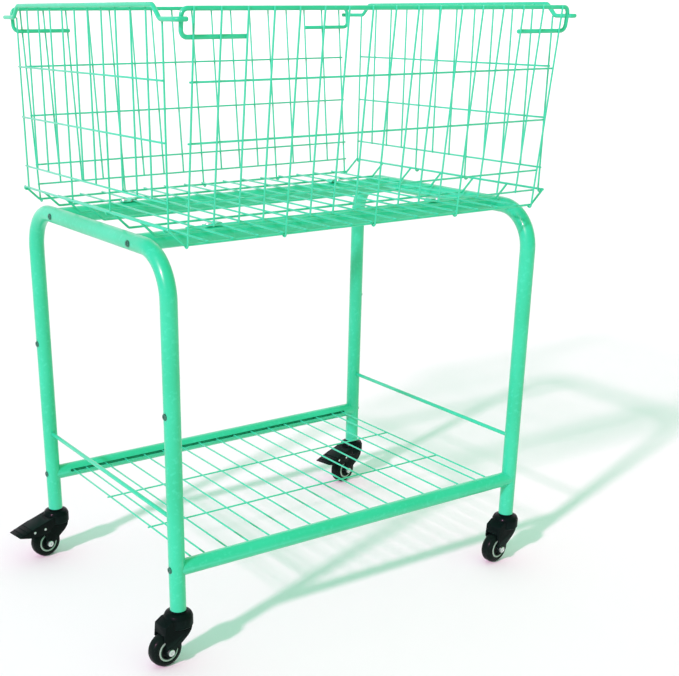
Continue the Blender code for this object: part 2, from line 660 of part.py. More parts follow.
def brake_pedal():
    """A lever over the braked casters' wheels: a sloping shell that turns on a pin through the fork."""
    pivot_x, pivot_z = PEDAL_PIVOT
    ridges = [(0.0560, 0.0), (0.0568, -0.0010), (0.0640, 0.0), (0.0648, -0.0010), (0.0720, 0.0), (0.0728, -0.0010)]
    top = [(0.010, pedal_top(0.010))] + [(x, pedal_top(x) + drop) for x, drop in ridges]
    below = [(0.0800, 0.0508), (0.0680, 0.0475), (0.0560, 0.0445), (0.0280, 0.0445), (0.0180, 0.0540), (0.010, 0.060)]
    pedal = prism("pedal", top + [(0.0800, 0.0522)] + below, PEDAL_HALF_WIDTH)
    inside = [(0.0, pedal_top(0.0) - PEDAL_THICKNESS), (0.0740, pedal_top(0.0740) - PEDAL_THICKNESS),
              (0.0740, 0.030), (0.0, 0.030)]
    combine(pedal, prism("inside", inside, PEDAL_HALF_WIDTH - PEDAL_SKIRT), "DIFFERENCE")
    cope = bar_object("cope", [(0, 0, 0.03), (0, 0, 0.09)], HEAD_RADIUS + 2 * GAP, 2 * SWIVEL_SIDES)
    combine(pedal, cope, "DIFFERENCE")
    ends = [(pivot_x, side * (PEDAL_HALF_WIDTH + 0.0006), pivot_z) for side in (-1, 1)]
    combine(pedal, bar_object("pin", ends, PEDAL_PIN_RADIUS, 8), "UNION")
    tongue = [(0.0400, 0.0620), (0.0405, 0.0490), (0.0455, 0.0480), (0.0480, 0.0600)]
    combine(pedal, prism("tongue", tongue, 0.007), "UNION")
    pedal.data.transform(Matrix.Translation((-pivot_x, 0, -pivot_z)))
    return finished(pedal, BLACK_HOUSING)


def make_casters():
    """A caster in each leg. Each part's origin is on the axis that it turns on."""
    stem = caster_stem()
    forks = {True: caster_fork(True), False: caster_fork(False)}
    wheel_parts = {"caster_tyre": caster_tyre(), "wheel_core": caster_core(), "axle_bolt": axle_bolt(),
                   "axle_nut": axle_nut()}
    pedal = brake_pedal()
    for corner, (side_x, side_y) in CORNERS.items():
        x = side_x * LEG_SPAN_X / 2
        y = side_y * LEG_SPAN_Y / 2
        copy_of(stem, f"caster_stem_{corner}", (x, y, 0))
        swivel = bpy.data.objects.new(f"swivel_{corner}", None)
        swivel.location = (x, y, 0)
        swivel.rotation_euler = (0, 0, math.radians(CASTER_ANGLES[corner]))
        bpy.context.collection.objects.link(swivel)
        copy_of(forks[corner in BRAKED], f"caster_fork_{corner}", (0, 0, 0)).parent = swivel
        for name, part in wheel_parts.items():
            copy_of(part, f"{name}_{corner}", (CASTER_TRAIL, 0, WHEEL_RADIUS)).parent = swivel
        if corner in BRAKED:
            place = (PEDAL_PIVOT[0], 0, PEDAL_PIVOT[1])
            copy_of(pedal, f"brake_pedal_{corner}", place).parent = swivel
    for pattern in [stem, pedal, *forks.values(), *wheel_parts.values()]:
        bpy.data.objects.remove(pattern, do_unlink=True)


def main():
    clear_scene()
    make_end_frames()
    make_guard_rods()
    make_lower_rails()
    make_upper_rails()
    make_frame_screws()
    make_shelf()
    make_basket_floor()
    make_basket_sides()
    make_basket_ends()
    make_floor_clips()
    make_casters()


main()
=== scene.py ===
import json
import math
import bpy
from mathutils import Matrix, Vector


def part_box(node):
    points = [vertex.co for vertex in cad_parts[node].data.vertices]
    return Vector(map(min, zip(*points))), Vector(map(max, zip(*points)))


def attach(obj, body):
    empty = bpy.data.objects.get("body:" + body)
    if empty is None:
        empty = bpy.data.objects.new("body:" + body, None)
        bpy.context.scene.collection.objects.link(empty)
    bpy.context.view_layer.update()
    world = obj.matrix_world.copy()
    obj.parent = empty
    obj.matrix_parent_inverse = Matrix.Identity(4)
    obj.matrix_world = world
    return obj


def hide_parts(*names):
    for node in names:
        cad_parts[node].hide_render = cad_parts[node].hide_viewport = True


bl_info = {
    "name": "Rolling Wire Laundry Basket",
    "version": (1, 0, 0),
    "blender": (4, 5, 0),
    "location": "View3D > Sidebar > Laundry Basket",
    "description": "Draws the mint green wire basket, its tube frame, shelf and casters on their moving bodies",
    "category": "Add Mesh",
}

import bmesh
import bpy
from mathutils import Matrix, Vector

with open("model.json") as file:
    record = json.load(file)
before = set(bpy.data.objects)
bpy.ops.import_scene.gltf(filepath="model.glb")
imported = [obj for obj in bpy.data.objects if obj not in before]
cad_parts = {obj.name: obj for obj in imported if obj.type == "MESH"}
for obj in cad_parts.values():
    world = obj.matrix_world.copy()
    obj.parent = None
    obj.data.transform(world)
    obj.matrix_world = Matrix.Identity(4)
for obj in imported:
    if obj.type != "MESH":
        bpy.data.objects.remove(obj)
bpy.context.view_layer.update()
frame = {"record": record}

JOINTS = {joint["name"]: joint for joint in frame["record"]["behaviour"]["joints"]}
CORNERS = {"front_left": (-1, -1), "front_right": (1, -1), "back_left": (-1, 1), "back_right": (1, 1)}
BRAKED = ("back_left", "back_right")
PEDAL_PIVOT = (0.032, 0.0, 0.054)

HEADING_DEGREES = 32.3
DOWN_DEGREES = 21.8
ROLL_DEGREES = 0.2
CAMERA_PLACE = (-0.9821, -1.4784, 0.8496)
CAMERA_LENS = 61.9
CAMERA_SHIFT = (0.1249, 0.2031)
SUN_DIRECTION = (0.942, 0.334, -0.65)
SUN_STRENGTH = 3.4
SUN_ANGLE_DEGREES = 4
SUN_COLOUR = (1.0, 0.48, 0.76)


def middle(node):
    low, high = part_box(node)
    return (low + high) / 2


RIGHT_LEG_X = middle("end_frame_right").x
FRAME_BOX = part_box("end_frame_right")
TUBE = (FRAME_BOX[1].x - FRAME_BOX[0].x) / 2
LEG_Y = FRAME_BOX[1].y - TUBE
LEG_FOOT_Z = FRAME_BOX[0].z
TOP_BAR_Z = FRAME_BOX[1].z - TUBE
UPPER_RAIL_Y = middle("upper_rail_back").y
LOWER_RAIL_Z = middle("lower_rail_back").z
GUARD_Z = middle("guard_rod_left").z
SPARE_Z = middle("spare_station_screw_back_left").z
SHELF_WIRE_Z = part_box("shelf_grille")[1].z - 0.0013
FLOOR_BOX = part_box("basket_floor")
SIDE_AXIS = Vector(JOINTS["side_back_fold"]["pos_m"])
FLOOR_BAR_Z = SIDE_AXIS.z
FLOOR_EDGE_Y = SIDE_AXIS.y
FLOOR_WIRE_Z = TOP_BAR_Z + TUBE + 0.0003 + 0.0013


class PaintColours(bpy.types.PropertyGroup):
    """Colours of the finishes"""
    paint: bpy.props.FloatVectorProperty(
        name="Paint", description="Colour of the powder coat", subtype="COLOR", size=3, min=0, max=1,
        default=(0.024, 0.64, 0.34))
    paint_pale: bpy.props.FloatVectorProperty(
        name="Thin paint", description="Colour where the coat is thin, on edges and welds", subtype="COLOR",
        size=3, min=0, max=1, default=(0.060, 0.71, 0.45))
    paint_deep: bpy.props.FloatVectorProperty(
        name="Thick paint", description="Colour where the coat has pooled", subtype="COLOR", size=3, min=0,
        max=1, default=(0.012, 0.55, 0.26))
    housing: bpy.props.FloatVectorProperty(
        name="Housing", description="Colour of the casters' moulded housings", subtype="COLOR", size=3, min=0,
        max=1, default=(0.002, 0.006, 0.005))
    rubber: bpy.props.FloatVectorProperty(
        name="Rubber", description="Colour of the tyres", subtype="COLOR", size=3, min=0, max=1,
        default=(0.003, 0.008, 0.006))
    core: bpy.props.FloatVectorProperty(
        name="Wheel core", description="Colour of the wheels' raised rings", subtype="COLOR", size=3, min=0,
        max=1, default=(0.36, 0.50, 0.40))
    zinc: bpy.props.FloatVectorProperty(
        name="Zinc", description="Colour of the plated screws, nuts and rivets", subtype="COLOR", size=3, min=0,
        max=1, default=(0.66, 0.74, 0.70))
    floor: bpy.props.FloatVectorProperty(
        name="Studio floor", description="Colour of the floor", subtype="COLOR", size=3, min=0, max=1,
        default=(0.88, 0.90, 0.89))


class CartSizes(bpy.types.PropertyGroup):
    """Sizes of the bars, the basket and the casters"""
    tube_wall: bpy.props.FloatProperty(
        name="Tube wall", description="Wall thickness of the frame's tubes", default=0.0015, unit="LENGTH")
    frame_bend: bpy.props.FloatProperty(
        name="Frame bend", description="Centre-line radius of the end frames' bends", default=0.060,
        unit="LENGTH")
    wire: bpy.props.FloatProperty(
        name="Wire radius", description="Radius of the thin wires", default=0.0013, unit="LENGTH")
    edge_wire: bpy.props.FloatProperty(
        name="Floor bar radius", description="Radius of the basket floor's bars", default=0.0016,
        unit="LENGTH")
    rim_wire: bpy.props.FloatProperty(
        name="Rim radius", description="Radius of the basket's heavy top wires", default=0.0028,
        unit="LENGTH")
    weld: bpy.props.FloatProperty(
        name="Weld depth", description="How far crossing wires sink into each other", default=0.00045,
        unit="LENGTH")
    hook: bpy.props.FloatProperty(
        name="Hook radius", description="Centre-line radius of the hooks under the panels", default=0.0034,
        unit="LENGTH")
    side_tilt: bpy.props.FloatProperty(
        name="Side tilt", description="How far the long sides lean out", default=math.radians(6),
        subtype="ANGLE")
    wire_pitch: bpy.props.FloatProperty(
        name="Side wire pitch", description="Distance between the long sides' upright wires", default=0.036,
        unit="LENGTH")
    end_pitch: bpy.props.FloatProperty(
        name="End wire pitch", description="Distance between the short ends' upright wires", default=0.040,
        unit="LENGTH")
    trail: bpy.props.FloatProperty(
        name="Caster trail", description="Distance from the swivel axis to the axle", default=0.024,
        unit="LENGTH")
    wheel: bpy.props.FloatProperty(
        name="Wheel radius", description="Outer radius of the tyres", default=0.025, unit="LENGTH")
    fork_half: bpy.props.FloatProperty(
        name="Fork half width", description="Half the width of the casters' forks", default=0.0135,
        unit="LENGTH")


def sizes():
    return bpy.context.scene.cart_sizes


def colours():
    return bpy.context.scene.paint_colours


class Value:
    """A number socket whose sums build Math nodes."""

    def __init__(self, nodes, socket):
        self.nodes = nodes
        self.socket = socket

    def _math(self, operation, first, second):
        socket = self.nodes.add("ShaderNodeMath", {"operation": operation}, {0: first, 1: second})
        return Value(self.nodes, socket)

    def __add__(self, other):
        return self._math("ADD", self, other)

    def __radd__(self, other):
        return self._math("ADD", other, self)

    def __sub__(self, other):
        return self._math("SUBTRACT", self, other)

    def __rsub__(self, other):
        return self._math("SUBTRACT", other, self)

    def __mul__(self, other):
        return self._math("MULTIPLY", self, other)

    def __rmul__(self, other):
        return self._math("MULTIPLY", other, self)

    def clamped(self):
        return self._math("MINIMUM", self._math("MAXIMUM", self, 0.0), 1.0)


class Finish:
    """A new material and its nodes."""

    def __init__(self, name, roughness=0.5, metallic=0.0, **constants):
        self.material = bpy.data.materials.new(name)
        self.material.use_nodes = True
        self.tree = self.material.node_tree
        self.shader = self.tree.nodes["Principled BSDF"]
        self.shader.inputs["Roughness"].default_value = roughness
        self.shader.inputs["Metallic"].default_value = metallic
        for name, value in constants.items():
            self.shader.inputs[name.replace("_", " ")].default_value = value

    def put(self, socket, value):
        if isinstance(value, Value):
            value = value.socket
        if isinstance(value, bpy.types.NodeSocket):
            self.tree.links.new(value, socket)
        else:
            socket.default_value = value

    def add(self, kind, settings=None, inputs=None, output=0):
        node = self.tree.nodes.new(kind)
        for name, value in (settings or {}).items():
            if name == "stops":
                for stop, (place, level) in zip(node.color_ramp.elements, value):
                    stop.position = place
                    stop.color = (level, level, level, 1.0)
            else:
                setattr(node, name, value)
        for key, value in (inputs or {}).items():
            self.put(node.inputs[key], value)
        return node.outputs[output]

    def place(self):
        return self.add("ShaderNodeTexCoord", output=3)

    def noise(self, scale, detail=3.0, stretch=(1, 1, 1)):
        where = self.place()
        if stretch != (1, 1, 1):
            where = self.add("ShaderNodeVectorMath", {"operation": "MULTIPLY"}, {0: where, 1: stretch})
        inputs = {"Vector": where, "Scale": scale, "Detail": detail}
        return Value(self, self.add("ShaderNodeTexNoise", {}, inputs))

    def spots(self, scale, low, high):
        """1 inside scattered spots of noise, 0 outside."""
        found = self.noise(scale, 4.0)
        return Value(self, self.add("ShaderNodeMapRange", {"interpolation_type": "SMOOTHSTEP"},
                                    {"Value": found, "From Min": low, "From Max": high}))

    def corner(self, low, high):
        """1 on edges that stand out, 0 elsewhere."""
        point = self.add("ShaderNodeNewGeometry", output=7)
        return Value(self, self.add("ShaderNodeMapRange", {"interpolation_type": "SMOOTHSTEP"},
                                    {"Value": point, "From Min": low, "From Max": high}))

    def mix(self, factor, first, second):
        if not isinstance(first, bpy.types.NodeSocket):
            first = (*first, 1.0)
        if not isinstance(second, bpy.types.NodeSocket):
            second = (*second, 1.0)
        return self.add("ShaderNodeMix", {"data_type": "RGBA"}, {0: factor, 6: first, 7: second}, output=2)

    def bump(self, height, distance, strength=1.0):
        inputs = {"Height": height, "Distance": distance, "Strength": strength}
        normal = self.add("ShaderNodeBump", {}, inputs)
        self.put(self.shader.inputs["Normal"], normal)

    def set(self, name, value):
        self.put(self.shader.inputs[name], value)


def paint_finish():
    finish = Finish("mint_paint", roughness=0.3, Coat_Weight=0.25, Coat_Roughness=0.12)
    tones = colours()
    broad = finish.noise(9.0, 2.0)
    colour = finish.mix((broad * 1.6 - 0.45).clamped(), tones.paint_deep, tones.paint)
    colour = finish.mix(finish.spots(160.0, 0.52, 0.72) * 0.35, colour, tones.paint_pale)
    worn = finish.corner(0.52, 0.62) * 0.5
    colour = finish.mix(worn, colour, tones.paint_pale)
    finish.set("Base Color", colour)
    finish.set("Roughness", finish.noise(60.0, 3.0) * 0.18 + 0.24)
    ripple = finish.noise(900.0, 2.0)
    finish.bump(ripple, 0.00006)
    return finish.material


def housing_finish():
    finish = Finish("black_housing", Specular_IOR_Level=0.03, Coat_Weight=0.05, Coat_Roughness=0.1)
    tones = colours()
    dust = finish.spots(220.0, 0.5, 0.75) * 0.25
    colour = finish.mix(dust, tones.housing, (0.003, 0.010, 0.008))
    finish.set("Base Color", finish.mix(finish.corner(0.52, 0.60) * 0.5, colour, (0.008, 0.024, 0.019)))
    finish.set("Roughness", finish.noise(90.0, 3.0) * 0.25 + 0.2)
    finish.bump(finish.noise(2400.0, 2.0), 0.00005)
    return finish.material


def rubber_finish():
    finish = Finish("black_rubber", Specular_IOR_Level=0.05, Coat_Weight=0.06, Coat_Roughness=0.16)
    tones = colours()
    scuff = finish.spots(140.0, 0.48, 0.7) * 0.4
    finish.set("Base Color", finish.mix(scuff, tones.rubber, (0.005, 0.013, 0.010)))
    finish.set("Roughness", finish.noise(120.0, 4.0) * 0.3 + 0.22)
    finish.bump(finish.noise(1300.0, 3.0), 0.00008)
    return finish.material


def core_finish():
    finish = Finish("grey_core", roughness=0.4, Specular_IOR_Level=0.2)
    tones = colours()
    grime = finish.spots(180.0, 0.45, 0.75) * 0.5
    ring = finish.mix(grime, tones.core, (0.16, 0.24, 0.19))
    out = finish.add("ShaderNodeVectorMath", {"operation": "MULTIPLY"}, {0: finish.place(), 1: (1, 1, 0)})
    out = finish.add("ShaderNodeVectorMath", {"operation": "LENGTH"}, {0: out}, output=1)
    on_ring = finish.add("ShaderNodeMapRange", {}, {"Value": out, "From Min": 0.0128, "From Max": 0.0131})
    finish.set("Base Color", finish.mix(on_ring, (0.004, 0.010, 0.008), ring))
    finish.set("Roughness", finish.noise(150.0, 3.0) * 0.3 + 0.25)
    finish.bump(finish.noise(1500.0, 2.0), 0.00005)
    return finish.material


def zinc_finish():
    finish = Finish("bright_zinc", roughness=0.3, metallic=1.0)
    tones = colours()
    stain = finish.spots(300.0, 0.45, 0.7) * 0.5
    finish.set("Base Color", finish.mix(stain, tones.zinc, (0.42, 0.50, 0.46)))
    finish.set("Roughness", finish.noise(350.0, 3.0, (1, 1, 6)) * 0.3 + 0.2)
    finish.bump(finish.noise(2600.0, 2.0), 0.00004)
    return finish.material


# Zinc for the frame's screws, with its colour painted dark: painted shade standing in for the shadow in the
# tube's dimples round the screw heads.
def zinc_under_painted_shade_finish():
    finish = Finish("zinc_under_painted_shade", roughness=0.35, metallic=0.9)
    stain = finish.spots(300.0, 0.45, 0.7) * 0.5
    # Painted shade: dark green tones in place of bright zinc, for the shadow in the dimples.
    colour = finish.mix(stain, (0.035, 0.16, 0.11), (0.02, 0.07, 0.05))
    finish.set("Base Color", finish.mix(finish.corner(0.52, 0.60) * 0.4, colour, (0.20, 0.42, 0.34)))
    finish.set("Roughness", finish.noise(350.0, 3.0) * 0.3 + 0.25)
    finish.bump(finish.noise(2600.0, 2.0), 0.00004)
    return finish.material


def floor_finish():
    finish = Finish("studio_floor", roughness=0.9)
    tones = colours()
    pale = Vector(tones.floor)
    finish.set("Base Color", finish.mix(finish.noise(3.0, 2.0), pale, pale * 0.985))
    finish.bump(finish.noise(300.0, 2.0), 0.00005)
    return finish.material


FINISHES = {"mint_paint": paint_finish, "black_housing": housing_finish, "black_rubber": rubber_finish,
            "grey_core": core_finish, "bright_zinc": zinc_finish, "zinc_under_painted_shade": zinc_under_painted_shade_finish,
            "studio_floor": floor_finish}
MADE = {}


def material(name):
    """The finish's own material, made once; the frame's flat one of that name is left alone."""
    if name not in MADE:
        MADE[name] = FINISHES[name]()
    return MADE[name]


def piece(name, shape, finish, body, replaced, place=Matrix(), smooth_below=35):
    """A finished piece from a bmesh, riding on its body in place of its CAD nodes."""
    mesh = bpy.data.meshes.new(name)
    bmesh.ops.recalc_face_normals(shape, faces=shape.faces)
    shape.to_mesh(mesh)
    shape.free()
    mesh.materials.append(material(finish))
    return dressed(name, mesh, body, replaced, place, smooth_below)


def dressed(name, mesh, body, replaced, place=Matrix(), smooth_below=35):
    mesh.shade_smooth()
    mesh.set_sharp_from_angle(angle=math.radians(smooth_below))
    made = bpy.data.objects.new(name, mesh)
    bpy.context.collection.objects.link(made)
    made.matrix_world = place
    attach(made, body)
    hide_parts(*replaced)
    return made


def rounded(points, bend, steps):
    """The path through the points with each inner corner turned on an arc of the bend radius."""
    path = [Vector(points[0])]
    for before, corner, after in zip(points, points[1:], points[2:]):
        corner = Vector(corner)
        back = (Vector(before) - corner).normalized()
        ahead = (Vector(after) - corner).normalized()
        turn = math.pi - back.angle(ahead)
        start = corner + back * bend * math.tan(turn / 2)
        centre = corner + (back + ahead).normalized() * bend / math.cos(turn / 2)
        axis = (-back).cross(ahead).normalized()
        for step in range(steps + 1):
            path.append(centre + Matrix.Rotation(turn * step / steps, 3, axis) @ (start - centre))
    path.append(Vector(points[-1]))
    return path


def rings_along(shape, path, radii, sides):
    """One ring of points round each point of the path, mitred at its bends."""
    path = [Vector(point) for point in path]
    along = (path[1] - path[0]).normalized()
    facing = along.orthogonal().normalized()
    rings = []
    for index, point in enumerate(path):
        ahead = (path[index + 1] - point).normalized() if index + 1 < len(path) else along
        plane = (along + ahead).normalized()
        ring = []
        for side in range(sides):
            offset = Matrix.Rotation(math.tau * side / sides, 3, along) @ facing * radii[index]
            slid = offset - along * offset.dot(plane) / along.dot(plane)
            ring.append(shape.verts.new(point + slid))
        facing = along.rotation_difference(ahead) @ facing
        along = ahead
        rings.append(ring)
    return rings


def skin(shape, rings):
    sides = len(rings[0])
    for first, second in zip(rings, rings[1:]):
        for side in range(sides):
            after = (side + 1) % sides
            shape.faces.new((first[side], first[after], second[after], second[side]))


def wire(shape, path, radius, sides=10, tip=0.45):
    """Adds a round wire along the path, with its cut ends rounded over by tip times its radius."""
    path = [Vector(point) for point in path]
    reach = radius * tip
    first = (path[1] - path[0]).normalized() * reach
    last = (path[-1] - path[-2]).normalized() * reach
    start = [path[0], path[0] + first * 0.3, path[0] + first]
    end = [path[-1] - last, path[-1] - last * 0.3, path[-1]]
    path = start + path[1:-1] + end
    radii = [radius * (1 - tip), radius * (1 - tip * 0.3), radius] + [radius] * (len(path) - 6)
    radii += [radius, radius * (1 - tip * 0.3), radius * (1 - tip)]
    rings = rings_along(shape, path, radii, sides)
    skin(shape, rings)
    shape.faces.new(rings[0])
    shape.faces.new(rings[-1])


def weld(shape, place, radius):
    """Adds a small fused bead where two wires cross."""
    bmesh.ops.create_icosphere(shape, subdivisions=1, radius=radius, matrix=Matrix.Translation(place))


def pipe(shape, path, radius, wall, sides=32):
    """Adds an open tube along the path, with its rims eased."""
    path = [Vector(point) for point in path]
    ease = wall * 0.25
    first = (path[1] - path[0]).normalized() * ease
    last = (path[-1] - path[-2]).normalized() * ease
    outer_path = [path[0], path[0] + first] + path[1:-1] + [path[-1] - last, path[-1]]
    outer = [radius - ease] + [radius] * (len(outer_path) - 2) + [radius - ease]
    inner = [radius - wall + ease] + [radius - wall] * (len(outer_path) - 2) + [radius - wall + ease]
    outside = rings_along(shape, outer_path, outer, sides)
    inside = rings_along(shape, outer_path, inner, sides)
    skin(shape, outside)
    skin(shape, inside)
    skin(shape, [outside[0], inside[0]])
    skin(shape, [outside[-1], inside[-1]])


def lathe(shape, profile, sides, place=Matrix()):
    """Adds a turned solid round Z, from its (radius, height) profile."""
    rings = []
    for radius, height in profile:
        if radius == 0:
            rings.append([shape.verts.new(place @ Vector((0, 0, height)))])
            continue
        angles = [math.tau * side / sides for side in range(sides)]
        rings.append([shape.verts.new(place @ Vector((radius * math.cos(a), radius * math.sin(a), height)))
                      for a in angles])
    closed = profile[0] == profile[-1]
    if closed:
        rings[-1] = rings[0]
    for first, second in zip(rings, rings[1:]):
        for side in range(sides):
            after = (side + 1) % sides
            corners = [first[side % len(first)], first[after % len(first)]]
            corners += [second[after % len(second)], second[side % len(second)]]
            unique = list(dict.fromkeys(corners))
            if len(unique) > 2:
                shape.faces.new(unique)


ALONG_Y = Matrix.Rotation(math.radians(-90), 4, "X")
ALONG_X = Matrix.Rotation(math.radians(90), 4, "Y")


def smooth_outline(points, steps=6):
    """A closed outline of (x, z) points with a radius each, (x, z, radius), turned into a rounded polygon."""
    line = []
    count = len(points)
    for index, (x, z, radius) in enumerate(points):
        corner = Vector((x, z))
        back = Vector(points[index - 1][:2]) - corner
        ahead = Vector(points[(index + 1) % count][:2]) - corner
        turn = math.pi - back.angle(ahead)
        reach = min(radius * math.tan(turn / 2), back.length * 0.49, ahead.length * 0.49)
        start = corner + back.normalized() * reach
        end = corner + ahead.normalized() * reach
        for step in range(steps + 1):
            t = step / steps
            line.append(start * (1 - t) ** 2 + corner * 2 * t * (1 - t) + end * t ** 2)
    return line


def slab(shape, outline, half_width, ease=0.0, y=0.0):
    """Adds a plate from its (x, z) outline, drawn across Y, with its two rims eased over."""
    layers = [(-half_width, ease), (-half_width + ease * 0.3, ease * 0.3), (-half_width + ease, 0.0),
              (half_width - ease, 0.0), (half_width - ease * 0.3, ease * 0.3), (half_width, ease)]
    if not ease:
        layers = [(-half_width, 0.0), (half_width, 0.0)]
    count = len(outline)
    inward = []
    for index in range(count):
        tangent = outline[(index + 1) % count] - outline[index - 1]
        inward.append(Vector((-tangent.y, tangent.x)).normalized())
    area = sum(outline[i - 1].x * outline[i].y - outline[i].x * outline[i - 1].y for i in range(count))
    turn = 1 if area > 0 else -1
    rings = []
    for across, shrink in layers:
        rings.append([shape.verts.new((point.x + normal.x * shrink * turn, y + across,
                                       point.y + normal.y * shrink * turn))
                      for point, normal in zip(outline, inward)])
    skin(shape, rings)
    shape.faces.new(rings[0])
    shape.faces.new(rings[-1])


def solid(name, shape):
    """A temporary object for a Boolean."""
    mesh = bpy.data.meshes.new(name)
    bmesh.ops.recalc_face_normals(shape, faces=shape.faces)
    shape.to_mesh(mesh)
    shape.free()
    made = bpy.data.objects.new(name, mesh)
    bpy.context.collection.objects.link(made)
    return made


def combined(target, others, operation="DIFFERENCE"):
    """The mesh of the target after a Boolean with each of the others; all the temporary objects go."""
    for other in others:
        modifier = target.modifiers.new(operation, "BOOLEAN")
        modifier.operation = operation
        modifier.solver = "EXACT"
        modifier.object = other
    graph = bpy.context.evaluated_depsgraph_get()
    mesh = bpy.data.meshes.new_from_object(target.evaluated_get(graph))
    for old in [target, *others]:
        bpy.data.objects.remove(old, do_unlink=True)
    return mesh


def painted(mesh, finish):
    mesh.materials.clear()
    mesh.materials.append(material(finish))
    return mesh


class CART_OT_end_frames(bpy.types.Operator):
    """Bends the two end frames from tube, with a dimple at each screw"""
    bl_idname = "cart.end_frames"
    bl_label = "End frames"

    def execute(self, context):
        s = sizes()
        corners = [(0, -LEG_Y, LEG_FOOT_Z), (0, -LEG_Y, TOP_BAR_Z),
                   (0, LEG_Y, TOP_BAR_Z), (0, LEG_Y, LEG_FOOT_Z)]
        path = rounded(corners, s.frame_bend, 14)
        stations = [(LOWER_RAIL_Z, 0.020), (SPARE_Z, 0.020)]
        low = [Vector((0, 0, z + dz)) for z, half in stations for dz in (-half, -half / 2, 0, half / 2, half)]
        front = [Vector((0, -LEG_Y, point.z)) for point in low]
        back = [Vector((0, LEG_Y, point.z)) for point in reversed(low)]
        left_ys = (-0.145, -0.135, -UPPER_RAIL_Y, -0.115, -0.105)
        right_ys = (0.105, 0.115, UPPER_RAIL_Y, 0.135, 0.145)
        top = [Vector((0, y, TOP_BAR_Z)) for y in left_ys + right_ys]
        bend = len(path) // 2
        path = [path[0]] + front + path[1:bend] + top + path[bend:-1] + back + [path[-1]]
        for side, name in ((-1, "end_frame_left"), (1, "end_frame_right")):
            shape = bmesh.new()
            pipe(shape, path, TUBE, s.tube_wall)
            bmesh.ops.recalc_face_normals(shape, faces=shape.faces)
            target = solid(name, shape)
            cutters = []
            for y_side in (-1, 1):
                for y, z in ((UPPER_RAIL_Y, TOP_BAR_Z), (LEG_Y, LOWER_RAIL_Z), (LEG_Y, SPARE_Z)):
                    cutter = bmesh.new()
                    place = Matrix.Translation((side * (TUBE + 0.0062), y_side * y, z)) @ ALONG_X
                    lathe(cutter, [(0, -0.0082), (0.0036, -0.0080), (0.0062, -0.0066), (0.0078, -0.0050),
                                   (0.009, 0.006), (0, 0.006)] if side > 0 else
                          [(0, 0.0082), (0.0036, 0.0080), (0.0062, 0.0066), (0.0078, 0.0050), (0.009, -0.006),
                           (0, -0.006)], 24, place)
                    cutters.append(solid("dimple", cutter))
            mesh = painted(combined(target, cutters), "mint_paint")
            place = Matrix.Translation((side * RIGHT_LEG_X, 0, 0))
            dressed(name + "_tube", mesh, "frame", [name], place)
        return {"FINISHED"}


class CART_OT_guard_rods(bpy.types.Operator):
    """Adds the thin rod between the legs of each end frame"""
    bl_idname = "cart.guard_rods"
    bl_label = "Guard rods"

    def execute(self, context):
        for side, name in ((-1, "guard_rod_left"), (1, "guard_rod_right")):
            low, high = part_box(name)
            shape = bmesh.new()
            x = side * RIGHT_LEG_X
            wire(shape, [(x, low.y, GUARD_Z), (x, high.y, GUARD_Z)], (high.z - low.z) / 2, 20, 0.1)
            piece(name + "_wire", shape, "mint_paint", "frame", [name])
        return {"FINISHED"}


def rail_shape(name):
    """A rail's tube with its two ends coped round the end frames' tubes."""
    centre = middle(name)
    low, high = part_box(name)
    shape = bmesh.new()
    ends = [(low.x, 0, 0), (low.x + 0.02, 0, 0), (high.x - 0.02, 0, 0), (high.x, 0, 0)]
    pipe(shape, ends, TUBE, sizes().tube_wall)
    target = solid(name, shape)
    target.data.transform(Matrix.Translation((0, centre.y, centre.z)))
    upright = name.startswith("lower")
    cutters = []
    for side in (-1, 1):
        cutter = bmesh.new()
        x = side * RIGHT_LEG_X
        if upright:
            ends = [(x, centre.y, centre.z - 0.04), (x, centre.y, centre.z + 0.04)]
        else:
            ends = [(x, centre.y - 0.04, centre.z), (x, centre.y + 0.04, centre.z)]
        wire(cutter, ends, TUBE + 0.0002, 48, 0.0001)
        cutters.append(solid("cope", cutter))
    return target, cutters


class CART_OT_rails(bpy.types.Operator):
    """Adds the four tubes that join the end frames; the lower two have a slot for the shelf's wires"""
    bl_idname = "cart.rails"
    bl_label = "Rails"

    def execute(self, context):
        for end in ("front", "back"):
            name = f"upper_rail_{end}"
            target, cutters = rail_shape(name)
            mesh = painted(combined(target, cutters), "mint_paint")
            dressed(name + "_tube", mesh, "frame", [name])
            name = f"lower_rail_{end}"
            target, cutters = rail_shape(name)
            inner = -1 if end == "back" else 1
            half = 0.280
            shape = bmesh.new()
            low = SHELF_WIRE_Z - 0.0024
            high = SHELF_WIRE_Z + 0.0020
            outline = smooth_outline([(-half, low, 0.002), (half, low, 0.002),
                                      (half, high, 0.002), (-half, high, 0.002)])
            slab(shape, outline, 0.01, y=-inner * (LEG_Y - TUBE))
            cutters.append(solid("slot", shape))
            mesh = painted(combined(target, cutters), "mint_paint")
            dressed(name + "_tube", mesh, "frame", [name])
        return {"FINISHED"}


class CART_OT_shelf(bpy.types.Operator):
    """Welds the wire shelf between the lower rails"""
    bl_idname = "cart.shelf"
    bl_label = "Wire shelf"

    def execute(self, context):
        s = sizes()
        low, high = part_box("shelf_grille")
        shape = bmesh.new()
        xs = [0.036 * step for step in range(-7, 8)] + [-0.274, 0.274]
        sink = 2 * s.wire - s.weld
        for x in xs:
            wire(shape, [(x, low.y + 0.001, SHELF_WIRE_Z), (x, high.y - 0.001, SHELF_WIRE_Z)], s.wire)
            for y in (-0.068, 0.068):
                weld(shape, (x, y, SHELF_WIRE_Z - sink / 2), s.wire * 0.95)
        for y in (-0.068, 0.068):
            wire(shape, [(low.x, y, SHELF_WIRE_Z - sink), (high.x, y, SHELF_WIRE_Z - sink)], s.wire)
        for y in (-1, 1):
            edge_y = y * (LEG_Y - 0.004)
            edge_z = SHELF_WIRE_Z - 0.003
            wire(shape, [(low.x, edge_y, edge_z), (high.x, edge_y, edge_z)], 0.0022)
        piece("shelf_wires", shape, "mint_paint", "frame", ["shelf_grille"])
        return {"FINISHED"}


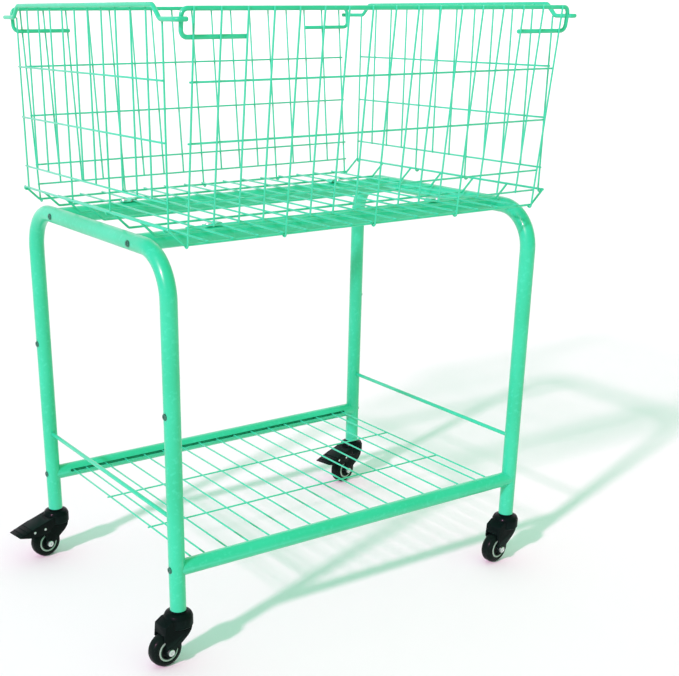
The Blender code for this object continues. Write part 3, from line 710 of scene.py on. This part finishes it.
class CART_OT_basket_floor(bpy.types.Operator):
    """Welds the basket's floor, whose bars turn up at both ends"""
    bl_idname = "cart.basket_floor"
    bl_label = "Basket floor"

    def execute(self, context):
        s = sizes()
        low, high = FLOOR_BOX
        end_x = high.x - s.edge_wire
        end_z = high.z - s.edge_wire
        shape = bmesh.new()
        bar_ys = [0.076 * step for step in (-2, -1, 0, 1, 2)] + [-FLOOR_EDGE_Y, FLOOR_EDGE_Y]
        run = 0.0215
        for y in bar_ys:
            corners = [(-end_x, y, end_z), (-end_x + run, y, FLOOR_BAR_Z), (end_x - run, y, FLOOR_BAR_Z),
                       (end_x, y, end_z)]
            wire(shape, rounded(corners, 0.005, 5), s.edge_wire)
            for x in (-end_x, end_x):
                weld(shape, (x, y, end_z), s.edge_wire * 1.25)
        xs = [0.037 * step if step else -0.004 for step in range(-7, 8)]
        for x in xs:
            wire(shape, [(x, low.y, FLOOR_WIRE_Z), (x, high.y, FLOOR_WIRE_Z)], s.wire)
            for y in bar_ys:
                weld(shape, (x, y, FLOOR_WIRE_Z - s.wire), s.wire * 0.95)
        for x in (-end_x, end_x):
            wire(shape, [(x, -FLOOR_EDGE_Y - 0.0016, end_z), (x, FLOOR_EDGE_Y + 0.0016, end_z)], s.edge_wire)
        piece("basket_floor_wires", shape, "mint_paint", "frame", ["basket_floor"])
        return {"FINISHED"}


def hook_path(x, top):
    radius = sizes().hook
    turns = [math.pi * step / 10 for step in range(11)]
    return [(x, -radius, top)] + [(x, -radius * math.cos(a), -radius * math.sin(a)) for a in turns]


def panel_wires(shape, xs, long_ones, heights, half, tops):
    """Adds a panel's upright and level wires, over the bar that its hooks hold, which is at the origin."""
    s = sizes()
    inner = -s.hook + 2 * s.wire - s.weld
    for index, (x, top) in enumerate(zip(xs, tops)):
        if index in long_ones:
            wire(shape, hook_path(x, top), s.wire)
        else:
            wire(shape, [(x, -s.hook, heights[0] - s.wire), (x, -s.hook, top)], s.wire)
        for height in heights:
            weld(shape, (x, -s.hook + s.wire, height), s.wire * 0.95)
    for height in heights:
        wire(shape, [(-half, inner, height), (half, inner, height)], s.wire)


def rim_depth():
    s = sizes()
    return -s.hook + s.wire + s.rim_wire - s.weld


class CART_OT_basket_sides(bpy.types.Operator):
    """Welds the two long sides of the basket, whose top wires end in flat loops"""
    bl_idname = "cart.basket_sides"
    bl_label = "Basket sides"

    def execute(self, context):
        s = sizes()
        heights = (0.022, 0.0505, 0.1215, 0.191)
        upper = 0.2705
        lower = upper - 0.0305
        y = rim_depth()
        xs = [s.wire_pitch * (index - 8) for index in range(17)]
        corners = [(-0.214, y, lower), (-0.3025, y, lower), (-0.3025, y, upper), (0.3025, y, upper),
                   (0.3025, y, lower), (0.214, y, lower)]
        for side, name in ((-1, "front"), (1, "back")):
            shape = bmesh.new()
            panel_wires(shape, xs, (0, 4, 8, 12, 16), heights, s.wire_pitch * 8 + 2 * s.wire, [0.2732] * 17)
            wire(shape, rounded(corners, 0.008, 10), s.rim_wire, 18, 0.5)
            for x in xs:
                weld(shape, (x, -s.hook + s.wire, upper), s.wire * 1.1)
            turn = Matrix.Rotation(math.pi if side > 0 else 0, 4, "Z")
            lean = Matrix.Rotation(s.side_tilt, 4, "X")
            place = Matrix.Translation((0, side * FLOOR_EDGE_Y, FLOOR_BAR_Z)) @ turn @ lean
            node = f"basket_side_{name}"
            piece(node + "_wires", shape, "mint_paint", f"side_{name}", [node], place)
        return {"FINISHED"}


class CART_OT_basket_ends(bpy.types.Operator):
    """Welds the two short ends of the basket, whose top wires hook round the sides' loops"""
    bl_idname = "cart.basket_ends"
    bl_label = "Basket ends"

    def execute(self, context):
        s = sizes()
        y = rim_depth()
        rim = 0.253
        low = rim - 0.0155
        corners = [(0, y, rim), (0.2045, y, rim), (0.221, y, low), (0.261, y, low), (0.261, y - 0.014, low)]
        step = rounded(corners[:4], 0.009, 6)[:-1]
        half = step + rounded([(0.24, y, low)] + corners[3:], 0.006, 7)[1:]
        path = [(-x, depth, z) for x, depth, z in reversed(half)] + [tuple(point) for point in half[1:]]
        xs = [s.end_pitch * (index - 5.5) for index in range(12)]
        tops = [0.2375] + [0.2525] * 10 + [0.2375]
        end_x = FLOOR_BOX[1].x - s.edge_wire
        end_z = FLOOR_BOX[1].z - s.edge_wire
        for side, name in ((-1, "left"), (1, "right")):
            shape = bmesh.new()
            panel_wires(shape, xs, (0, 4, 7, 11), (0.031, 0.101, 0.171), 0.2205, tops)
            wire(shape, path, s.rim_wire, 18, 0.5)
            for x in xs[1:-1]:
                weld(shape, (x, -s.hook + s.wire, rim), s.wire * 1.1)
            turn = Matrix.Rotation(-side * math.pi / 2, 4, "Z")
            place = Matrix.Translation((side * end_x, 0, end_z)) @ turn
            piece(f"basket_end_{name}_wires", shape, "mint_paint", "frame", [f"basket_end_{name}"], place)
        return {"FINISHED"}


class CART_OT_clips(bpy.types.Operator):
    """Adds the four strips that hold the basket's floor on the upper rails"""
    bl_idname = "cart.clips"
    bl_label = "Floor clips"

    def execute(self, context):
        for corner, (side_x, side_y) in CORNERS.items():
            low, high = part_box(f"floor_clip_{corner}")
            low_z = low.z + 0.0006
            hump = high.z - 0.0006
            x = 0.185
            line = [(x - 0.0062, low_z), (x - 0.0032, hump), (x + 0.0032, hump), (x + 0.0062, low_z),
                    (x + 0.0187, low_z)]
            centre = rounded([(px, 0, pz) for px, pz in line], 0.0012, 4)
            outline = [Vector((p.x, p.z - 0.0006)) for p in centre] + [Vector((p.x, p.z + 0.0006))
                                                                       for p in reversed(centre)]
            shape = bmesh.new()
            slab(shape, outline, 0.007)
            turn = Matrix.Rotation(0 if side_x > 0 else math.pi, 4, "Z")
            place = Matrix.Translation((0, side_y * UPPER_RAIL_Y, 0)) @ turn
            piece(f"floor_clip_{corner}_strip", shape, "mint_paint", "frame", [f"floor_clip_{corner}"], place)
        return {"FINISHED"}


def screw_shape(shape, length, place):
    """Adds a pan-head screw, its head's underside at the origin and its point along -Z."""
    point = [(0, -length), (0.0012, -length + 0.0012), (0.0024, -length + 0.004), (0.0024, 0)]
    head = [(0.0045, 0), (0.0045, 0.0007), (0.0039, 0.0016), (0.0026, 0.0021), (0, 0.0022)]
    lathe(shape, point + head, 24, place)


class CART_OT_screws(bpy.types.Operator):
    """Adds the screws of the frame and the clips"""
    bl_idname = "cart.screws"
    bl_label = "Screws"

    def execute(self, context):
        for corner, (side_x, side_y) in CORNERS.items():
            for row in ("upper_rail_screw", "lower_rail_screw", "spare_station_screw"):
                name = f"{row}_{corner}"
                low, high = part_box(name)
                centre = middle(name)
                seat = (high.x if side_x > 0 else low.x) - side_x * 0.0022
                turn = Matrix.Rotation(side_x * math.pi / 2, 4, "Y")
                place = Matrix.Translation((seat, centre.y, centre.z)) @ turn
                # The frame's screws get zinc painted dark, as painted shade for the dimples they sit in; the
                # clip screws below keep bright zinc.
                self.screw(name, place, high.x - low.x - 0.0022, "zinc_under_painted_shade")
            name = f"clip_screw_{corner}"
            low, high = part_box(name)
            centre = middle(name)
            place = Matrix.Translation((centre.x, centre.y, high.z - 0.0022))
            self.screw(name, place, high.z - low.z - 0.0022, "bright_zinc")
        return {"FINISHED"}

    @staticmethod
    def screw(name, place, length, plating):
        shape = bmesh.new()
        screw_shape(shape, length, Matrix())
        target = solid(name, shape)
        cutters = []
        for angle in (45, 135):
            cut = bmesh.new()
            bmesh.ops.create_cube(cut, size=1, matrix=Matrix.Translation((0, 0, 0.0022))
                                  @ Matrix.Rotation(math.radians(angle), 4, "Z")
                                  @ Matrix.Diagonal((0.0044, 0.0009, 0.0024, 1)))
            cutters.append(solid("recess", cut))
        mesh = painted(combined(target, cutters), plating)
        dressed(name + "_plated", mesh, "frame", [name], place)


def caster_places():
    """Each corner's swivel place, with +X behind the swivel axis, as the joints give it."""
    places = {}
    for corner in CORNERS:
        axis = Vector(JOINTS[f"swivel_{corner}"]["pos_m"])
        axle = Vector(JOINTS[f"wheel_spin_{corner}"]["pos_m"])
        angle = math.atan2(axle.y - axis.y, axle.x - axis.x)
        places[corner] = Matrix.Translation((axis.x, axis.y, 0)) @ Matrix.Rotation(angle, 4, "Z")
    return places


class CART_OT_caster_housings(bpy.types.Operator):
    """Moulds each caster's stem and its housing, with the brake's pedal on the back two"""
    bl_idname = "cart.caster_housings"
    bl_label = "Caster housings"

    def execute(self, context):
        for corner, place in caster_places().items():
            self.stem(corner, place)
            self.fork(corner, place)
            if corner in BRAKED:
                self.pedal(corner, place)
        return {"FINISHED"}

    @staticmethod
    def stem(corner, place):
        name = f"caster_stem_{corner}"
        low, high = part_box(name)
        foot = LEG_FOOT_Z
        shape = bmesh.new()
        lathe(shape, [(0, low.z), (0.006, low.z), (0.0065, low.z + 0.0005), (0.0065, low.z + 0.002),
                      (0.004, low.z + 0.002), (0.004, foot - 0.0023), (TUBE - 0.0006, foot - 0.0023),
                      (TUBE, foot - 0.0018), (TUBE, foot - 0.0007), (TUBE - 0.0004, foot - 0.0003),
                      (TUBE - 0.002, foot - 0.0003), (TUBE - 0.002, high.z), (0, high.z)], 32)
        piece(name + "_plug", shape, "black_housing", "frame", [name], place)

    @staticmethod
    def fork(corner, place):
        s = sizes()
        braked = corner in BRAKED
        x = s.trail
        front = [(-0.0150, 0.0700, 0.002), (-0.0150, 0.0570, 0.010), (-0.0128, 0.0485, 0.012),
                 (-0.0078, 0.0420, 0.014), (0.0020, 0.0345, 0.020), (0.0114, 0.0274, 0.014),
                 (0.0155, 0.0205, 0.006), (0.0190, 0.0165, 0.005), (0.0240, 0.0150, 0.005),
                 (0.0285, 0.0170, 0.004), (0.0305, 0.0215, 0.004)]
        if braked:
            rear = [(0.0300, 0.0400, 0.008), (0.0370, 0.0470, 0.004), (0.0380, 0.0560, 0.003),
                    (0.0350, 0.0590, 0.002), (0.0195, 0.0640, 0.001)]
        else:
            rear = [(0.0297, 0.0400, 0.006), (0.0325, 0.0435, 0.002), (0.0305, 0.0640, 0.002),
                    (0.0195, 0.0705, 0.001)]
        shape = bmesh.new()
        slab(shape, smooth_outline(front + rear), s.fork_half, ease=0.0006)
        target = solid("fork", shape)
        head = bmesh.new()
        lathe(head, [(0, 0.056), (0.0195, 0.056), (0.0207, 0.0572), (0.0207, 0.0696), (0.0204, 0.0706),
                     (0.0190, 0.0738), (0.0183, 0.0747), (0.0132, 0.0764), (0.0120, 0.0768), (0, 0.0768)], 40)
        target.data = combined(duplicate(target), [solid("head", head)], "UNION")
        room = [(0, -0.011), (0.0258, -0.011), (0.027, -0.0098), (0.027, 0.0098), (0.0258, 0.011), (0, 0.011)]
        hub = Matrix.Translation((x, 0, s.wheel)) @ ALONG_Y
        cuts = [turned_cutter(room, 48, hub),
                turned_cutter([(0, 0.044), (0.008, 0.044), (0.008, 0.0733), (0, 0.0733)], 24),
                turned_cutter([(0, 0.06), (0.0043, 0.06), (0.0043, 0.09), (0, 0.09)], 24),
                turned_cutter([(0, -0.03), (0.0033, -0.03), (0.0033, 0.03), (0, 0.03)], 24, hub)]
        if braked:
            hole = [(0, -0.03), (0.0025, -0.03), (0.0025, 0.03), (0, 0.03)]
            cuts.append(turned_cutter(hole, 20, Matrix.Translation(PEDAL_PIVOT) @ ALONG_Y))
        mesh = painted(combined(target, cuts), "black_housing")
        mesh.transform(place)
        dressed(f"caster_housing_{corner}", mesh, f"swivel_{corner}",
                [f"caster_fork_{corner}"])

    @staticmethod
    def pedal(corner, place):
        half = 0.0170
        ridges = [(0.0450, 0.0), (0.0560, 0.0), (0.0568, -0.0010), (0.0640, 0.0), (0.0648, -0.0010),
                  (0.0720, 0.0), (0.0728, -0.0010)]
        top = [(0.0100, pedal_top(0.0100), 0.001)]
        top += [(x, pedal_top(x) + drop, 0.0006) for x, drop in ridges]
        below = [(0.0800, 0.0522, 0.0008), (0.0800, 0.0508, 0.0008), (0.0680, 0.0475, 0.006),
                 (0.0560, 0.0445, 0.006), (0.0280, 0.0445, 0.006), (0.0180, 0.0540, 0.003),
                 (0.0100, 0.0600, 0.001)]
        shape = bmesh.new()
        slab(shape, smooth_outline(top + below, 4), half, ease=0.0008)
        target = solid("pedal", shape)
        inside = bmesh.new()
        hollow = [(0.0, pedal_top(0.0) - 0.0025), (0.0740, pedal_top(0.0740) - 0.0025),
                  (0.0740, 0.030), (0.0, 0.030)]
        slab(inside, [Vector(point) for point in hollow], half - 0.003)
        cope = turned_cutter([(0, 0.03), (0.0213, 0.03), (0.0213, 0.09), (0, 0.09)], 48)
        target = solid_of_mesh(combined(target, [solid("inside", inside), cope]))
        tongue = bmesh.new()
        outline = [(0.0400, 0.0620, 0.001), (0.0405, 0.0490, 0.002), (0.0455, 0.0480, 0.002),
                   (0.0480, 0.0600, 0.001)]
        slab(tongue, smooth_outline(outline, 3), 0.007, ease=0.0006)
        pin = bmesh.new()
        reach = half - 0.001
        pivot = Vector(PEDAL_PIVOT)
        wire(pin, [pivot - Vector((0, reach, 0)), pivot + Vector((0, reach, 0))], 0.0022, 20, 0.1)
        mesh = combined(target, [solid("tongue", tongue), solid("pin", pin)], "UNION")
        mesh = painted(mesh, "black_housing")
        node = f"brake_pedal_{corner}"
        dressed(f"brake_lever_{corner}", mesh, f"pedal_{corner}", [node], place)
        rivets = bmesh.new()
        for x, z in ((pivot.x, pivot.z), (0.0518, 0.0533)):
            for side in (-1, 1):
                turn = Matrix.Rotation(math.radians(side * -90), 4, "X")
                spot = Matrix.Translation((x, side * (half - 0.0006), z)) @ turn
                profile = [(0, 0), (0.0021, 0), (0.0021, 0.0007), (0.0014, 0.0012), (0, 0.0012)]
                lathe(rivets, profile, 20, spot)
        piece(f"brake_rivets_{corner}", rivets, "bright_zinc", f"pedal_{corner}", [node], place)


def pedal_top(x):
    """Height of the pedal's sloping top, at x behind the swivel axis."""
    return 0.0740 - 0.265 * x


def turned_cutter(profile, sides, place=Matrix()):
    shape = bmesh.new()
    lathe(shape, profile, sides, place)
    return solid("cutter", shape)


def solid_of_mesh(mesh):
    made = bpy.data.objects.new("joined", mesh)
    bpy.context.collection.objects.link(made)
    return made


def duplicate(obj):
    made = obj.copy()
    made.data = obj.data.copy()
    bpy.context.collection.objects.link(made)
    return made


class CART_OT_wheels(bpy.types.Operator):
    """Adds each caster's tyre, core, axle bolt and nut"""
    bl_idname = "cart.wheels"
    bl_label = "Wheels"

    def execute(self, context):
        s = sizes()
        for corner, place in caster_places().items():
            hub = place @ Matrix.Translation((s.trail, 0, s.wheel)) @ ALONG_Y
            tyre = bmesh.new()
            tread = [(0.0182, 0.0099), (0.0205, 0.0093), (0.0224, 0.0081), (0.0240, 0.0062), (0.0248, 0.0042),
                     (0.0250, 0.0022)]
            lathe(tyre, [(0.0158, -0.0088)] + [(radius, -y) for radius, y in tread] + tread[::-1]
                  + [(0.0158, 0.0088), (0.0158, -0.0088)], 64)
            piece(f"tyre_{corner}", tyre, "black_rubber", f"wheel_{corner}", [f"caster_tyre_{corner}"], hub)
            core = bmesh.new()
            rim = [(0.0104, 0.0066), (0.0110, 0.0092), (0.0117, 0.0099), (0.0126, 0.0099), (0.0131, 0.0094),
                   (0.0136, 0.0094), (0.0141, 0.0100), (0.0150, 0.0100), (0.0155, 0.0094)]
            side_out = [(0.0033, 0.0065), (0.0075, 0.0065), (0.0080, 0.0060), (0.0098, 0.0060)] + rim
            lathe(core, [(radius, -y) for radius, y in side_out] + side_out[::-1] + [(0.0033, -0.0065)], 64)
            piece(f"core_{corner}", core, "grey_core", f"wheel_{corner}", [f"wheel_core_{corner}"], hub)
            bolt = bmesh.new()
            half = s.fork_half + 0.0003
            lathe(bolt, [(0, -0.0192), (0.0016, -0.0192), (0.0020, -0.0204), (0.0026, -0.0204),
                         (0.0030, -0.0199), (0.0030, half), (0.0050, half), (0.0050, half + 0.0034), (0.0042, half + 0.004),
                         (0.0020, half + 0.004), (0.0016, half + 0.0028), (0, half + 0.0028)], 24)
            piece(f"bolt_{corner}", bolt, "bright_zinc", f"swivel_{corner}", [f"axle_bolt_{corner}"], hub)
            nut = turned_cutter([(0.0033, -half), (0.0052, -half), (0.0055, -half - 0.0005),
                                 (0.0055, -half - 0.0034), (0.0050, -half - 0.0040),
                                 (0.0033, -half - 0.0040), (0.0033, -half)], 24)
            notches = []
            for index in range(5):
                notch = bmesh.new()
                turn = Matrix.Rotation(math.tau * index / 5, 4, "Z")
                spot = Matrix.Translation((0.0045, 0, -half - 0.0034))
                spot = turn @ spot @ Matrix.Diagonal((0.004, 0.0018, 0.0036, 1))
                bmesh.ops.create_cube(notch, size=1, matrix=spot)
                notches.append(solid("notch", notch))
            mesh = painted(combined(nut, notches), "bright_zinc")
            dressed(f"nut_{corner}", mesh, f"swivel_{corner}", [f"axle_nut_{corner}"], hub)
        return {"FINISHED"}


class CART_OT_stage(bpy.types.Operator):
    """Adds the floor with its curved backdrop, the lights and the camera"""
    bl_idname = "cart.stage"
    bl_label = "Studio"

    def execute(self, context):
        self.backdrop()
        self.sun(Vector(SUN_DIRECTION), SUN_STRENGTH, math.radians(SUN_ANGLE_DEGREES), SUN_COLOUR)
        self.sky(context.scene)
        self.camera(context.scene)
        context.scene.view_settings.view_transform = "Standard"
        return {"FINISHED"}

    @staticmethod
    def backdrop():
        """A floor that curves up behind the cart, as the camera sees it."""
        heading = math.radians(HEADING_DEGREES)
        ahead = Vector((math.sin(heading), math.cos(heading), 0))
        aside = Vector((ahead.y, -ahead.x, 0))
        reach = 9.0
        curve = 4.0
        line = [(-6.0, 0.0)]
        line += [(reach + curve * math.sin(a), curve * (1 - math.cos(a)))
                 for a in (math.pi / 2 * step / 24 for step in range(25))]
        line.append((reach + curve, 14.0))
        shape = bmesh.new()
        rows = []
        for far, height in line:
            rows.append([shape.verts.new(ahead * far + aside * across + Vector((0, 0, height)))
                         for across in (-24.0, 24.0)])
        for first, second in zip(rows, rows[1:]):
            shape.faces.new((first[0], first[1], second[1], second[0]))
        mesh = bpy.data.meshes.new("studio_floor")
        shape.to_mesh(mesh)
        shape.free()
        mesh.shade_smooth()
        mesh.materials.append(material("studio_floor"))
        floor = bpy.data.objects.new("studio_floor", mesh)
        bpy.context.collection.objects.link(floor)

    @staticmethod
    def sun(direction, strength, angle, colour):
        lamp = bpy.data.lights.new("key", "SUN")
        lamp.energy = strength
        lamp.angle = angle
        lamp.color = colour
        made = bpy.data.objects.new("key", lamp)
        bpy.context.collection.objects.link(made)
        made.rotation_euler = direction.to_track_quat("-Z", "Y").to_euler()

    @staticmethod
    def sky(scene):
        """Even light from all round, paler blue on the left and greener on the right."""
        world = bpy.data.worlds.new("studio")
        world.use_nodes = True
        nodes = world.node_tree.nodes
        links = world.node_tree.links
        where = nodes.new("ShaderNodeTexCoord")
        split = nodes.new("ShaderNodeSeparateXYZ")
        links.new(where.outputs["Generated"], split.inputs[0])
        reach = nodes.new("ShaderNodeMapRange")
        reach.inputs["From Min"].default_value = -0.8
        reach.inputs["From Max"].default_value = 0.8
        links.new(split.outputs["X"], reach.inputs["Value"])
        tint = nodes.new("ShaderNodeMix")
        tint.data_type = "RGBA"
        tint.inputs[6].default_value = (0.54, 0.86, 0.84, 1.0)
        tint.inputs[7].default_value = (0.45, 0.88, 0.46, 1.0)
        links.new(reach.outputs[0], tint.inputs[0])
        links.new(tint.outputs[2], nodes["Background"].inputs["Color"])
        nodes["Background"].inputs["Strength"].default_value = 0.95
        scene.world = world

    @staticmethod
    def camera(scene):
        view = bpy.data.cameras.new("camera")
        view.sensor_width = 36.0
        view.lens = CAMERA_LENS
        view.shift_x, view.shift_y = CAMERA_SHIFT
        view.clip_end = 200.0
        made = bpy.data.objects.new("camera", view)
        bpy.context.collection.objects.link(made)
        heading = math.radians(HEADING_DEGREES)
        down = math.radians(DOWN_DEGREES)
        roll = math.radians(ROLL_DEGREES)
        level = math.cos(down)
        forward = Vector((math.sin(heading) * level, math.cos(heading) * level, -math.sin(down)))
        looking = forward.to_track_quat("-Z", "Y").to_matrix()
        made.rotation_mode = "QUATERNION"
        made.rotation_quaternion = (Matrix.Rotation(roll, 3, forward) @ looking).to_quaternion()
        made.location = CAMERA_PLACE
        scene.camera = made


class CART_PT_panel(bpy.types.Panel):
    """Lists the cart's pieces"""
    bl_idname = "CART_PT_panel"
    bl_label = "Laundry Basket"
    bl_space_type = "VIEW_3D"
    bl_region_type = "UI"
    bl_category = "Laundry Basket"

    def draw(self, context):
        for operator in OPERATORS:
            self.layout.operator(operator.bl_idname)
        for group in (context.scene.cart_sizes, context.scene.paint_colours):
            for name in group.bl_rna.properties.keys():
                if name not in ("rna_type", "name"):
                    self.layout.prop(group, name)


OPERATORS = (CART_OT_end_frames, CART_OT_guard_rods, CART_OT_rails, CART_OT_shelf,
             CART_OT_basket_floor, CART_OT_basket_sides, CART_OT_basket_ends, CART_OT_clips,
             CART_OT_screws, CART_OT_caster_housings, CART_OT_wheels, CART_OT_stage)
CLASSES = (PaintColours, CartSizes, *OPERATORS, CART_PT_panel)


def register():
    for one in CLASSES:
        bpy.utils.register_class(one)
    bpy.types.Scene.paint_colours = bpy.props.PointerProperty(type=PaintColours)
    bpy.types.Scene.cart_sizes = bpy.props.PointerProperty(type=CartSizes)


def unregister():
    del bpy.types.Scene.cart_sizes
    del bpy.types.Scene.paint_colours
    for one in reversed(CLASSES):
        bpy.utils.unregister_class(one)


def main():
    register()
    for operator in OPERATORS:
        group, name = operator.bl_idname.split(".")
        getattr(getattr(bpy.ops, group), name)()


if __name__ == "__main__":
    main()
